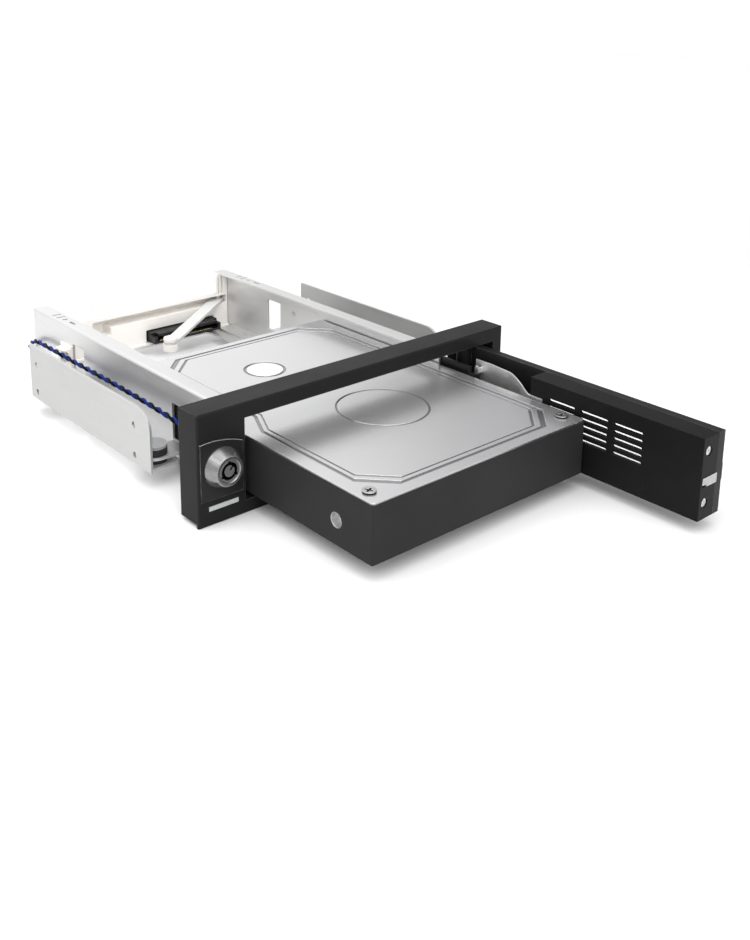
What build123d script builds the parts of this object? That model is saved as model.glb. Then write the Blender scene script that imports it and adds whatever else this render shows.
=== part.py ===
from build123d import *
import os
from math import atan2, cos, degrees, hypot, radians, sin, tan

# Trayless drive cage for a 5.25 inch bay, door open, with a 3.5 inch drive drawn part way out.
# Millimetres. +X is right, +Y goes back into the bay, +Z is up, z = 0 is the underside of the bezel.

os.makedirs("parts", exist_ok=True)

# Drive, which sets the bay and the bezel
drive_width = 101.6
drive_length = 147.0
drive_body_height = 20.0
drive_cover_thickness = 0.8
drive_out = 62.0
drive_wall = 2.6
drive_floor = 4.8
drive_gap_below = 0.26
drive_home_front = 13.2
side_hole_r = 2.5
cover_screw_inset = 4.6
cover_screw_back = 6.8
cross_length = 2.9
cross_width = 0.75
board_edge = 4.2
board_length = 62.0

# Bay and bezel
side_room = 22.225
bezel_cover = 1.475
bay_x = -2.0
bay_width = drive_width + 2 * side_room
bezel_width = bay_width + 2 * bezel_cover
bezel_height = 40.9
bezel_depth = 11.1
bezel_skin = 2.5
bezel_side = 2.0
lip_depth = 1.5
lip_drop = 1.4
edge_round = 0.7
opening_left = bay_x - drive_width / 2 - 2.4
opening_right = bezel_width / 2 - 5.1
opening_bottom = 5.0
opening_top = 35.4

# Sheet metal cage
sheet = 1.0
side_gap = 0.7
wall_rear = 163.5
wall_top = 34.5
floor_z = 4.4
flange_top_width = 6.6
flange_low_width = 8.0
flange_low_rear = 157.5
bend = 1.2
notch_rear = 47.6
notch_bottom = 11.2
notch_top = 25.7
window_front = 92.0
window_rear = 158.5
window_corner = 4.0
window_width = 0.75 * drive_width

# Bay brackets and their rubber mounts
bracket_front = 33.0
bracket_rear = 129.0
bracket_bottom = 7.2
bracket_top = 30.8
bracket_corner = 8.0
tab_reach = 12.4
tab_length = 14.0
tab_front = 35.0
bay_hole_pitch = 79.25
bay_hole_rise = 11.84
bay_hole_low = 11.1
bay_hole_middle = 83.7
bay_hole_r = 1.3
mount_inset = 6.9
mount_front = 41.5
mount_rear = 122.0
lug_rim = 0.8
rubber_r = 4.6
rubber_neck_r = 2.9
rubber_low = 1.8
rubber_high = 2.8
cap_thickness = 1.1
screw_r = 1.5
sleeve_r = 2.1
screw_head_r = 2.9
screw_head = 1.8

# Door
door_reach = 107.5
door_outer = opening_right - 5.8
door_plate = 4.0
door_box = 8.9
door_gap = 0.4
door_tail = 10.6
door_pocket = 35.5
hinge_x = opening_right - 11.2
hinge_r = 3.1
hinge_waist_r = 2.2
hinge_pin_r = 1.0
hinge_pin_length = 8.0
hinge_bore = 6.0
vent_skin = 1.5
vent_rows = 5
vent_columns = 3
vent_pitch_z = 2.7
vent_pitch_y = 14.35
vent_length = 12.2
vent_height = 1.25
vent_top = 28.6
vent_last = 84.6
vent_window_length = 52.0
vent_window_margin = 1.0
ridge_low = 16.5
ridge_high = 22.5

# Lock
lock_x = opening_left - 10.1
lock_z = 20.8
lock_r = 5.0
lock_flange_r = 7.2
lock_face_r = 5.5
lock_reach = 5.6
lock_length = 7.0
core_r = 3.9
keyway_r = 3.2
keyway_post_r = 2.0
running_gap = 0.05
panel_proud = 0.6
cam_reach = 11.5
cam_width = 3.2
cam_thickness = 1.6

# Status light and its lead
light_left = opening_left - 15.2
light_width = 12.0
light_low = 5.6
light_height = 1.6
wire_r = 0.5
# Half the wires' distance sideways and in height, which keeps them apart on each of the route's runs
wire_spread = 0.68
wire_rise = 0.52

# Ejector
lever_z = 18.6
lever_thickness = 1.2
lever_width = 6.0
pusher_r = 3.3
pusher_drop = 3.2
pusher_head = 1.8
pusher_x = bay_x - 6.7
pusher_d = 122.0
pivot_x = bay_x + drive_width / 2 - 3.3
pivot_d = 163.9
pivot_r = 1.5
bar_gap = 0.3
bar_thickness = 1.4
bar_low = 20.0
bar_height = 10.0
bar_front = -4.4
bar_rear = 117.0
guide_front = 58.0
guide_rear = 106.0
guide_r = 1.5
guide_gap = 0.2
strap_thickness = 0.6
strap_rivet_z = 23.6
strap_lap = 5.8
strap_rivet_d = -door_pocket - 3.4
strap_pin_r = 0.75
knuckle_r = 1.5
knuckle_height = 4.0

# Rear end
frame_front = 160.6
frame_rear = 168.6
frame_top = 25.6
frame_low = 13.7
board_front = 163.6
board_thickness = 1.6
board_top = 13.4
lead_plug_x = bay_x - 20.0
socket_rear = 170.0
plug_to_drive_edge = 46.8
plug_left = bay_x + drive_width / 2 - plug_to_drive_edge
plug_width = 38.0
plug_low = 7.2
plug_top = 11.9
plug_front = 153.4
contact_pitch = 1.27
board_left = plug_left - 43.0
board_screw_inset = 4.0
data_socket_left = plug_left - 16.0
power_socket_left = plug_left + 4.0

# The origin is midway between the door's free end and the rear sockets.
front_y = (door_reach - socket_rear) / 2


def back(depth):
    """The y of a point that lies this far behind the bezel's front face."""
    return front_y + depth


def facing_front(depth):
    """A sketch plane parallel to the bezel, with X across and Z up. Extrude by a minus sign to go back."""
    return Plane(origin=(0, back(depth), 0), x_dir=(1, 0, 0), z_dir=(0, -1, 0))


def block(x0, x1, d0, d1, z0, z1, mode=Mode.ADD):
    """A box between two corners, d counted back from the bezel's front face."""
    with Locations(((x0 + x1) / 2, (back(d0) + back(d1)) / 2, (z0 + z1) / 2)):
        Box(x1 - x0, d1 - d0, z1 - z0, mode=mode)


def upright(x, d, z, radius, height, mode=Mode.ADD):
    """A vertical cylinder that stands on z."""
    with Locations((x, back(d), z)):
        Cylinder(radius, height, align=(Align.CENTER, Align.CENTER, Align.MIN), mode=mode)


def lengthwise(x, d, z, radius, length, mode=Mode.ADD):
    """A cylinder along Y that starts at depth d and goes back."""
    with Locations(Location((x, back(d), z), (-90, 0, 0))):
        Cylinder(radius, length, align=(Align.CENTER, Align.CENTER, Align.MIN), mode=mode)


def crosswise(x, d, z, radius, length, mode=Mode.ADD):
    """A cylinder along X that starts at x and goes right."""
    with Locations(Location((x, back(d), z), (0, 90, 0))):
        Cylinder(radius, length, align=(Align.CENTER, Align.CENTER, Align.MIN), mode=mode)


def save(piece, name):
    """Label a finished piece and write it."""
    piece.part.label = name
    export_step(piece.part, f"parts/{name}.step")


# Places that several pieces share
drive_left = bay_x - drive_width / 2
drive_right = bay_x + drive_width / 2
flange_z = floor_z + 2 * sheet
drive_z = flange_z + drive_gap_below
drive_top = drive_z + drive_body_height
drive_rear = drive_length - drive_out
inner_left = drive_left - side_gap
inner_right = drive_right + side_gap
outer_left = inner_left - sheet
outer_right = inner_right + sheet
door_low = opening_bottom + door_gap
door_high = opening_top - door_gap
door_joint = door_outer - door_plate
door_inner_x = door_joint - door_box
hinge_d = door_outer - hinge_x
lug_z = bracket_bottom + sheet + rubber_low
lever_angle = atan2(pivot_d - pusher_d, pivot_x - pusher_x)
lever_length = hypot(pivot_d - pusher_d, pivot_x - pusher_x)
bar_left = outer_right + bar_gap
bar_right = bar_left + bar_thickness
bar_middle = bar_low + bar_height / 2
bar_travel = drive_home_front + drive_length - (pusher_d - pusher_r - 0.3)
bracket_x = bay_width / 2


# Bezel: a hollow moulded frame with a low front lip, the door opening and the lock cell
cell_right = opening_left - bezel_side
cell_left = -bezel_width / 2 + bezel_side
cell_bottom = lip_drop + bezel_side
cell_top = bezel_height - bezel_side
board_posts = [light_left + 0.6, light_left + light_width - 0.6]
post_z = 10.0
light_board_d = 7.6
light_middle = light_low + light_height / 2
flange_screws = [-0.27 * bezel_width, 0.0, 0.27 * bezel_width]
rail_middle = lip_drop + 1.5

with BuildPart() as bezel_frame:
    with BuildSketch(facing_front(0)):
        with Locations((0, bezel_height / 2)):
            Rectangle(bezel_width, bezel_height)
    extrude(amount=-bezel_depth)
    fillet(bezel_frame.edges().group_by(Axis.Y)[0], edge_round)
    with BuildSketch(facing_front(0)):
        with Locations(((opening_left + opening_right) / 2, (opening_bottom + opening_top) / 2)):
            Rectangle(opening_right - opening_left, opening_top - opening_bottom)
    extrude(amount=-bezel_depth, mode=Mode.SUBTRACT)
    block(-bezel_width, bezel_width, lip_depth, bezel_depth, 0, lip_drop, mode=Mode.SUBTRACT)
    with BuildSketch(facing_front(bezel_skin)):
        with Locations(((cell_left + cell_right) / 2, (cell_bottom + cell_top) / 2)):
            Rectangle(cell_right - cell_left, cell_top - cell_bottom)
    extrude(amount=-(bezel_depth - bezel_skin), mode=Mode.SUBTRACT)
    # Groove along the top rail from behind, as a moulding of even wall has
    block(opening_left, opening_right, bezel_skin, bezel_depth, opening_top + bezel_side,
          bezel_height - bezel_side, mode=Mode.SUBTRACT)
    # The rail is solid again round each hinge pin
    block(hinge_x - 1.5 * hinge_r, hinge_x + 1.5 * hinge_r, bezel_skin, bezel_depth, opening_top,
          bezel_height - edge_round)
    for x in board_posts:
        lengthwise(x, bezel_skin, post_z, 1.4, light_board_d - bezel_skin)
        lengthwise(x, bezel_skin, post_z, 0.6, light_board_d - bezel_skin, mode=Mode.SUBTRACT)
    lengthwise(lock_x, 0, lock_z, lock_r, bezel_skin, mode=Mode.SUBTRACT)
    block(light_left, light_left + light_width, 0, bezel_skin, light_low, light_low + light_height,
          mode=Mode.SUBTRACT)
    # Slot in the jamb that the lock's cam swings through
    block(cell_right, opening_left, lock_length - 0.7, lock_length + cam_thickness + 0.7,
          lock_z - cam_width / 2 - 0.5, lock_z + cam_reach + 0.6, mode=Mode.SUBTRACT)
    for z in (opening_bottom - hinge_pin_length / 2, opening_top):
        upright(hinge_x, hinge_d, z, hinge_pin_r, hinge_pin_length / 2, mode=Mode.SUBTRACT)
    for x in flange_screws:
        lengthwise(x, bezel_depth - 5, rail_middle, 0.72, 5, mode=Mode.SUBTRACT)
save(bezel_frame, "bezel_frame")

# Raised lock panel with its curved top edge
panel_left = -bezel_width / 2 + edge_round
panel_right = opening_left - 1.2
panel_low = 9.6
panel_high = 30.5
panel_fall = 2.6
with BuildPart() as lock_panel:
    with BuildSketch(facing_front(0)):
        with BuildLine():
            arc = ThreePointArc(
                (panel_left, panel_high),
                ((panel_left + panel_right) / 2, panel_high - 0.1),
                (panel_right, panel_high - panel_fall),
            )
            Polyline(arc @ 1, (panel_right, panel_low), (panel_left, panel_low), arc @ 0)
        make_face()
        with Locations((lock_x, lock_z)):
            Circle(lock_r, mode=Mode.SUBTRACT)
    extrude(amount=panel_proud)
save(lock_panel, "lock_panel")

# Light window, its board, its two lights and the screws of the board
with BuildPart() as light_window:
    block(light_left, light_left + light_width, -0.25, light_board_d - 1.9, light_low,
          light_low + light_height)
save(light_window, "light_window")

with BuildPart() as light_board:
    block(light_left - 1.4, light_left + light_width + 1.0, light_board_d, light_board_d + 1.2, 3.8, 11.6)
    for x in board_posts:
        lengthwise(x, light_board_d, post_z, 0.7, 1.2, mode=Mode.SUBTRACT)
save(light_board, "light_board")

with BuildPart() as status_lights:
    for share in (0.3, 0.7):
        lengthwise(light_left + share * light_width, light_board_d - 1.6, light_middle, 0.9, 1.6)
save(status_lights, "status_lights")

with BuildPart() as light_board_screws:
    for x in board_posts:
        lengthwise(x, light_board_d + 1.2, post_z, 1.3, 0.8)
        lengthwise(x, bezel_skin + 1, post_z, 0.58, light_board_d + 1.2 - bezel_skin - 1)
save(light_board_screws, "light_board_screws")

# Tubular cam lock: body, nut, turning core, cam and its screw, all on one axis
lock_axis = Axis((lock_x, 0, lock_z), (0, 1, 0))
with BuildPart() as lock_body:
    with BuildSketch(Plane.XY.offset(lock_z)):
        with BuildLine():
            Polyline(
                (lock_x + core_r + running_gap, back(lock_length)),
                (lock_x + lock_r, back(lock_length)),
                (lock_x + lock_r, back(-panel_proud)),
                (lock_x + lock_flange_r, back(-panel_proud)),
                (lock_x + lock_flange_r, back(-panel_proud - 0.6)),
                (lock_x + lock_face_r, back(-lock_reach + 0.3)),
                (lock_x + lock_face_r - 0.3, back(-lock_reach)),
                (lock_x + core_r + running_gap + 0.3, back(-lock_reach)),
                (lock_x + core_r + running_gap, back(-lock_reach + 0.3)),
                close=True,
            )
        make_face()
    revolve(axis=lock_axis)
save(lock_body, "lock_body")

with BuildPart() as lock_nut:
    with BuildSketch(facing_front(bezel_skin)):
        with Locations((lock_x, lock_z)):
            RegularPolygon(6.9, 6)
            Circle(lock_r + 0.02, mode=Mode.SUBTRACT)
    extrude(amount=-2.6)
save(lock_nut, "lock_nut")

with BuildPart() as lock_core:
    lengthwise(lock_x, -lock_reach + 0.3, lock_z, core_r, lock_reach - 0.3 + lock_length)
    with BuildSketch(facing_front(lock_length)):
        with Locations((lock_x, lock_z)):
            Rectangle(3.6, 3.6)
    extrude(amount=-cam_thickness)
    # Round keyway round a centre post, with notches for the key's keys in its rim and a flat on the post
    with BuildSketch(facing_front(-lock_reach + 0.3)):
        with Locations((lock_x, lock_z)):
            Circle(keyway_r)
            Circle(keyway_post_r, mode=Mode.SUBTRACT)
            with PolarLocations(keyway_r, 3, start_angle=90):
                Rectangle(1.0, 1.1)
            with Locations((0.9, 0.9)):
                Rectangle(1.8, 0.9, rotation=45)
    extrude(amount=-4.0, mode=Mode.SUBTRACT)
    lengthwise(lock_x, lock_length - 2, lock_z, 1.0, 2 + cam_thickness, mode=Mode.SUBTRACT)
save(lock_core, "lock_core")

with BuildPart() as lock_cam:
    with BuildSketch(facing_front(lock_length)):
        with Locations((lock_x, lock_z)):
            Circle(core_r + 0.6)
        with Locations((lock_x, lock_z + cam_reach / 2)):
            Rectangle(cam_width, cam_reach)
        with Locations((lock_x, lock_z)):
            Rectangle(3.6, 3.6, mode=Mode.SUBTRACT)
    extrude(amount=-cam_thickness)
save(lock_cam, "lock_cam")

with BuildPart() as lock_cam_screw:
    lengthwise(lock_x, lock_length + cam_thickness, lock_z, 2.6, 1.4)
    lengthwise(lock_x, lock_length - 1.8, lock_z, 0.98, 1.8 + cam_thickness)
save(lock_cam_screw, "lock_cam_screw")


# Side walls: one bent sheet each, with lugs sheared out and bent outwards for the rubber mounts
def side_wall(side):
    """The left wall for side -1, the right wall for side 1."""
    face = inner_left if side < 0 else inner_right
    outer = face + side * sheet
    mount_x = side * (bracket_x - mount_inset)
    lug_half = rubber_r + lug_rim
    with BuildPart() as wall:
        with BuildSketch(facing_front(bezel_depth)) as profile:
            with BuildLine():
                Polyline(
                    (outer, floor_z + sheet),
                    (outer, wall_top),
                    (outer - side * flange_top_width, wall_top),
                    (outer - side * flange_top_width, wall_top - sheet),
                    (face, wall_top - sheet),
                    (face, floor_z + 2 * sheet),
                    (face - side * flange_low_width, floor_z + 2 * sheet),
                    (face - side * flange_low_width, floor_z + sheet),
                    close=True,
                )
            make_face()
            corners = profile.vertices().filter_by(lambda v: abs(v.X - outer) < 0.01)
            fillet(corners, bend)
        extrude(amount=-(wall_rear - bezel_depth))
        # The low flange stops in front of the rear frame
        block(min(face, face - side * flange_low_width), max(face, face - side * flange_low_width),
              flange_low_rear, wall_rear, floor_z + sheet, flange_z, mode=Mode.SUBTRACT)
        low, high = min(face, outer), max(face, outer)
        # Openings left where the lugs were sheared out, the front one open to the bezel
        block(low, high, bezel_depth, notch_rear, notch_bottom, notch_top, mode=Mode.SUBTRACT)
        block(low, high, mount_rear - 5.5, mount_rear + 4.5, notch_bottom + 1.2, notch_top + 1.5,
              mode=Mode.SUBTRACT)
        for d in (mount_front, mount_rear):
            with BuildSketch(Plane.XY.offset(lug_z)):
                with Locations((mount_x, back(d))):
                    Circle(lug_half)
                with Locations(((mount_x + face) / 2, back(d))):
                    Rectangle(abs(mount_x - face), 2 * lug_half)
                with Locations((mount_x, back(d))):
                    Circle(rubber_neck_r, mode=Mode.SUBTRACT)
            extrude(amount=sheet)
        # Slots and a hole in the top flange for a cover's hooks
        hook_x = outer - side * flange_top_width / 2
        block(hook_x - 2, hook_x + 2, 146.4, 147.6, wall_top - sheet, wall_top, mode=Mode.SUBTRACT)
        block(hook_x - 2, hook_x + 2, 142.6, 143.8, wall_top - sheet, wall_top, mode=Mode.SUBTRACT)
        upright(hook_x, 139, wall_top - sheet, 1.1, sheet, mode=Mode.SUBTRACT)
        block(hook_x - 0.6, hook_x + 0.6, 129.8, 134.6, wall_top - sheet, wall_top, mode=Mode.SUBTRACT)
        for d in rivet_places:
            upright(face - side * flange_low_width / 2, d, flange_z - sheet, 1.2, sheet, mode=Mode.SUBTRACT)
        if side > 0:
            for d in (guide_front, guide_rear):
                crosswise(face, d, bar_middle, guide_r, sheet, mode=Mode.SUBTRACT)
    return wall


rivet_places = [26.0, 82.0, 140.0]
rivet_x = [inner_left + flange_low_width / 2, inner_right - flange_low_width / 2]
left_wall = side_wall(-1)
save(left_wall, "left_wall")
right_wall = side_wall(1)
save(right_wall, "right_wall")

# Floor sheet with a window, and a front edge turned down against the bezel's lower rail
frame_screw_x = [bay_x - 0.28 * drive_width, bay_x + 0.32 * drive_width]
frame_screw_d = frame_rear - 1.8
with BuildPart() as floor_sheet:
    with BuildSketch(Plane.XY.offset(floor_z)):
        with Locations(((outer_left + outer_right) / 2, (back(bezel_depth) + back(frame_rear)) / 2)):
            Rectangle(outer_right - outer_left, frame_rear - bezel_depth)
        with Locations((bay_x, (back(window_front) + back(window_rear)) / 2)):
            RectangleRounded(window_width, window_rear - window_front, window_corner, mode=Mode.SUBTRACT)
        with Locations(*[(x, back(d)) for x in rivet_x for d in rivet_places]):
            Circle(1.2, mode=Mode.SUBTRACT)
        with Locations(*[(x, back(frame_screw_d)) for x in frame_screw_x]):
            Circle(1.2, mode=Mode.SUBTRACT)
    extrude(amount=sheet)
    block(outer_left, outer_right, bezel_depth, bezel_depth + sheet, lip_drop + 0.2, floor_z + sheet)
    for x in flange_screws:
        lengthwise(x, bezel_depth, rail_middle, 0.85, sheet, mode=Mode.SUBTRACT)
save(floor_sheet, "floor_sheet")

with BuildPart() as floor_rivets:
    for x in rivet_x:
        for d in rivet_places:
            upright(x, d, floor_z, 1.18, 2 * sheet)
            upright(x, d, floor_z - 0.7, 2.4, 0.7)
save(floor_rivets, "floor_rivets")

with BuildPart() as bezel_screws:
    for x in flange_screws:
        lengthwise(x, bezel_depth + sheet, rail_middle, 1.4, 1.2)
        lengthwise(x, bezel_depth - 4, rail_middle, 0.7, 4 + sheet)
save(bezel_screws, "bezel_screws")


# Bay brackets: an upright sheet with four bay screw holes and two low tabs turned inwards
def bay_bracket(side):
    """The left bracket for side -1, the right one for side 1."""
    outer = side * bracket_x
    inner = outer - side * sheet
    low, high = min(outer, inner), max(outer, inner)
    with BuildPart() as bracket:
        with BuildSketch(Plane.YZ.offset(low)) as face:
            with Locations((back((bracket_front + bracket_rear) / 2), (bracket_bottom + bracket_top) / 2)):
                Rectangle(bracket_rear - bracket_front, bracket_top - bracket_bottom)
            fillet(face.vertices().group_by(Axis.Y)[-1].sort_by(Axis.X)[0], bracket_corner)
            with Locations((back(bay_hole_middle), bay_hole_low + bay_hole_rise / 2)):
                with GridLocations(bay_hole_pitch, bay_hole_rise, 2, 2):
                    Circle(bay_hole_r, mode=Mode.SUBTRACT)
        extrude(amount=sheet)
        for d in (tab_front, bracket_rear - tab_length):
            with BuildSketch(Plane.XY.offset(bracket_bottom)):
                with Locations((outer - side * tab_reach / 2, back(d + tab_length / 2))):
                    Rectangle(tab_reach, tab_length)
                mount_d = mount_front if d == tab_front else mount_rear
                with Locations((outer - side * mount_inset, back(mount_d))):
                    Circle(screw_r + 0.2, mode=Mode.SUBTRACT)
            extrude(amount=sheet)
        bend_edges = bracket.edges().filter_by(Axis.Y).filter_by(
            lambda e: abs(e.center().X - outer) < 0.01 and e.center().Z < bracket_bottom + 0.01)
        fillet(bend_edges, sheet * 0.9)
    return bracket


left_bracket = bay_bracket(-1)
save(left_bracket, "left_bracket")
right_bracket = bay_bracket(1)
save(right_bracket, "right_bracket")

mount_x = bracket_x - mount_inset
mount_places = [(side * mount_x, d) for side in (-1, 1) for d in (mount_front, mount_rear)]
rubber_base = bracket_bottom + sheet
lug_top = lug_z + sheet
cap_z = lug_top + rubber_high

with BuildPart() as rubber_mounts:
    for x, d in mount_places:
        upright(x, d, rubber_base, rubber_r - 0.2, rubber_low)
        upright(x, d, lug_z, rubber_neck_r, sheet)
        upright(x, d, lug_top, rubber_r, rubber_high)
        upright(x, d, rubber_base, sleeve_r, cap_z - rubber_base, mode=Mode.SUBTRACT)
save(rubber_mounts, "rubber_mounts")

with BuildPart() as mount_caps:
    for x, d in mount_places:
        upright(x, d, cap_z, rubber_r, cap_thickness)
        upright(x, d, rubber_base, sleeve_r, cap_z - rubber_base)
        upright(x, d, rubber_base, screw_r, cap_z - rubber_base + 0.6, mode=Mode.SUBTRACT)
save(mount_caps, "mount_caps")

with BuildPart() as mount_screws:
    for x, d in mount_places:
        upright(x, d, bracket_bottom - screw_head, screw_head_r, screw_head)
        upright(x, d, bracket_bottom, screw_r, sheet + cap_z - rubber_base)
save(mount_screws, "mount_screws")


# Drive: cast tub, pressed cover with its rims, circuit board, connector and cover screws
plug_right = plug_left + plug_width
recess_depth = 7.5
recess_top = plug_top + 0.6
board_z = drive_z + 1.0
drive_middle_d = drive_rear - drive_length / 2
side_holes = [28.5, 70.1, 130.1]
cover_screw_x = drive_width / 2 - cover_screw_inset
cover_screw_d = drive_rear - drive_length + cover_screw_back
board_front_d = drive_rear - recess_depth - board_length
side_hole_z = drive_z + 8.6

with BuildPart() as drive_housing:
    with BuildSketch(Plane.XY.offset(drive_z)):
        with Locations((bay_x, back(drive_middle_d))):
            Rectangle(drive_width, drive_length)
    extrude(amount=drive_body_height)
    fillet(drive_housing.edges().filter_by(Axis.Z), 0.6)
    with BuildSketch(Plane.XY.offset(drive_z + drive_floor)):
        with Locations((bay_x, back(drive_middle_d))):
            RectangleRounded(drive_width - 2 * drive_wall - 4, drive_length - 2 * drive_wall - 14, 9)
    extrude(amount=drive_body_height - drive_floor, mode=Mode.SUBTRACT)
    block(drive_left + board_edge - 0.2, drive_right - board_edge + 0.2, board_front_d - 0.2,
          drive_rear - recess_depth, drive_z, board_z + board_thickness, mode=Mode.SUBTRACT)
    block(plug_left - 0.6, plug_right + 0.6, drive_rear - recess_depth, drive_rear, drive_z, recess_top,
          mode=Mode.SUBTRACT)
    for d in side_holes:
        crosswise(drive_left, drive_rear - d, side_hole_z, side_hole_r, 3.5, mode=Mode.SUBTRACT)
        crosswise(drive_right - 3.5, drive_rear - d, side_hole_z, side_hole_r, 3.5, mode=Mode.SUBTRACT)
    for x in (-cover_screw_x, cover_screw_x):
        upright(bay_x + x, cover_screw_d, drive_top - 4, 1.0, 4, mode=Mode.SUBTRACT)
save(drive_housing, "drive_housing")


def rim_outline(inset):
    """The closed outline of the cover's pressed rim, moved inwards by inset."""
    left, right = drive_left + 5.5 + inset, drive_right - 5.0 - inset
    front, rear = -drive_out + 4.5 + inset, drive_rear - 3 - inset
    corner = 10.5
    step = 5.8
    Polyline(
        (left, back(front + corner)),
        (left + corner, back(front)),
        (right - corner, back(front)),
        (right, back(front + corner)),
        (right, back(rear - corner)),
        (right - corner, back(rear)),
        (left + step + corner, back(rear)),
        (left + step, back(rear - corner)),
        (left + step, back(13.5)),
        (left, back(1.5)),
        close=True,
    )


rim_depth = 0.35
spindle_place = (bay_x + 2.7, -8.4)
hub_place = (bay_x - 7.5, 49.8)
with BuildPart() as drive_cover:
    with BuildSketch(Plane.XY.offset(drive_top)):
        with Locations((bay_x, back(drive_middle_d))):
            RectangleRounded(drive_width - 0.3, drive_length - 0.3, 1.0)
    extrude(amount=drive_cover_thickness)
    with BuildSketch(Plane.XY.offset(drive_top + drive_cover_thickness - rim_depth)):
        for inset, mode in ((0, Mode.ADD), (1.5, Mode.SUBTRACT), (2.9, Mode.ADD), (3.7, Mode.SUBTRACT)):
            with BuildLine():
                rim_outline(inset)
            make_face(mode=mode)
        for (x, d), ring_r, ring_width in ((spindle_place, 17.5, 0.9), (hub_place, 8.6, 1.3)):
            with Locations((x, back(d))):
                Circle(ring_r)
                Circle(ring_r - ring_width, mode=Mode.SUBTRACT)
    extrude(amount=rim_depth, mode=Mode.SUBTRACT)
    for x in (-cover_screw_x, cover_screw_x):
        upright(bay_x + x, cover_screw_d, drive_top, 1.1, drive_cover_thickness, mode=Mode.SUBTRACT)
save(drive_cover, "drive_cover")

with BuildPart() as drive_cover_screws:
    for x in (-cover_screw_x, cover_screw_x):
        place = (bay_x + x, cover_screw_d)
        upright(*place, drive_top + drive_cover_thickness, 2.3, 0.7)
        upright(*place, drive_top - 3.5, 0.98, 3.5 + drive_cover_thickness)
        with BuildSketch(Plane.XY.offset(drive_top + drive_cover_thickness + 0.15)):
            with Locations((bay_x + x, back(cover_screw_d))):
                Rectangle(cross_length, cross_width, rotation=20)
                Rectangle(cross_width, cross_length, rotation=20)
        extrude(amount=0.55, mode=Mode.SUBTRACT)
save(drive_cover_screws, "drive_cover_screws")

with BuildPart() as drive_board:
    block(drive_left + board_edge, drive_right - board_edge, board_front_d, drive_rear - recess_depth - 0.2,
          board_z, board_z + board_thickness)
save(drive_board, "drive_board")

tongue_z = 9.0
tongue_thickness = 1.2
with BuildPart() as drive_connector:
    block(plug_left - 0.4, plug_right + 0.4, drive_rear - recess_depth, drive_rear - recess_depth + 0.5,
          drive_z + 0.3, recess_top)
    block(plug_left + 2, plug_right - 2, drive_rear - recess_depth, drive_rear - 0.6, tongue_z,
          tongue_z + tongue_thickness)
save(drive_connector, "drive_connector")


# Door: front plate with its hinge barrels and tail, inner box with vents, catch and end screws
vent_window_low = 10.5
vent_window_high = 30.5
with BuildPart() as door_front:
    with BuildSketch(Plane.YZ.offset(door_joint)):
        with Locations(((back(-door_reach) + back(hinge_d + door_tail)) / 2, (door_low + door_high) / 2)):
            Rectangle(hinge_d + door_tail + door_reach, door_high - door_low)
        window_middle = vent_window_length / 2 - vent_window_margin - vent_last
        with Locations((back(window_middle), (vent_window_low + vent_window_high) / 2)):
            RectangleRounded(vent_window_length, vent_window_high - vent_window_low, 2, mode=Mode.SUBTRACT)
    extrude(amount=door_plate)
    long_edge = 0.8 * (door_high - door_low)
    fillet(door_front.edges().group_by(Axis.X)[-1].filter_by(lambda e: e.length > long_edge), 0.8)
    # One hinge barrel over the whole height, with a waist where the knuckle of the slide bar goes past
    waist_low = bar_middle - knuckle_height / 2 - 0.6
    waist_high = bar_middle + knuckle_height / 2 + 0.6
    upright(hinge_x, hinge_d, door_low, hinge_r, waist_low - door_low)
    upright(hinge_x, hinge_d, waist_low, hinge_waist_r, waist_high - waist_low)
    upright(hinge_x, hinge_d, waist_high, hinge_r, door_high - waist_high)
    for z in (door_low, door_high - hinge_bore):
        upright(hinge_x, hinge_d, z, hinge_pin_r + running_gap, hinge_bore, mode=Mode.SUBTRACT)
    # Finger ridge near the free end
    block(door_outer, door_outer + 0.8, -door_reach + 0.6, -door_reach + 2.6, ridge_low, ridge_high)
save(door_front, "door_front")

latch_left = door_inner_x + 0.9
latch_right = door_joint
latch_low = 17.4
latch_high = 20.6
latch_depth = 6.0
end_screw_z = [11.3, 29.9]
with BuildPart() as door_inner:
    with BuildSketch(Plane.YZ.offset(door_inner_x)):
        with Locations(((back(-door_reach) + back(-door_pocket)) / 2, (door_low + door_high) / 2)):
            Rectangle(door_reach - door_pocket, door_high - door_low)
    extrude(amount=door_box)
    # Hollow behind the vents, open towards the front plate
    block(door_inner_x + vent_skin, door_joint, -vent_last - 2.5, -door_pocket - 2, door_low + 2.7,
          door_high - 3.5, mode=Mode.SUBTRACT)
    with BuildSketch(Plane.YZ.offset(door_inner_x)):
        for row in range(vent_rows):
            for column in range(vent_columns):
                slot_y = back(-vent_last + vent_length / 2 + column * vent_pitch_y)
                with Locations((slot_y, vent_top - row * vent_pitch_z)):
                    SlotOverall(vent_length, vent_height)
    extrude(amount=vent_skin, mode=Mode.SUBTRACT)
    block(latch_left, latch_right, -door_reach, -door_reach + latch_depth, latch_low, latch_high,
          mode=Mode.SUBTRACT)
    crosswise(door_inner_x, strap_rivet_d, strap_rivet_z, 0.8, 1.4, mode=Mode.SUBTRACT)
    for z in end_screw_z:
        lengthwise(door_inner_x + 3.2, -door_reach, z, 1.7, 1.2, mode=Mode.SUBTRACT)
        lengthwise(door_inner_x + 3.2, -door_reach, z, 0.9, 6, mode=Mode.SUBTRACT)
save(door_inner, "door_inner")

with BuildPart() as door_catch:
    block(latch_left, latch_right, -door_reach - 0.3, -door_reach + latch_depth, latch_low, latch_high)
    block(latch_left, latch_left + 2.4, -door_reach - 0.3, -door_reach + 1.6, latch_low, latch_low + 0.9,
          mode=Mode.SUBTRACT)
save(door_catch, "door_catch")

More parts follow.
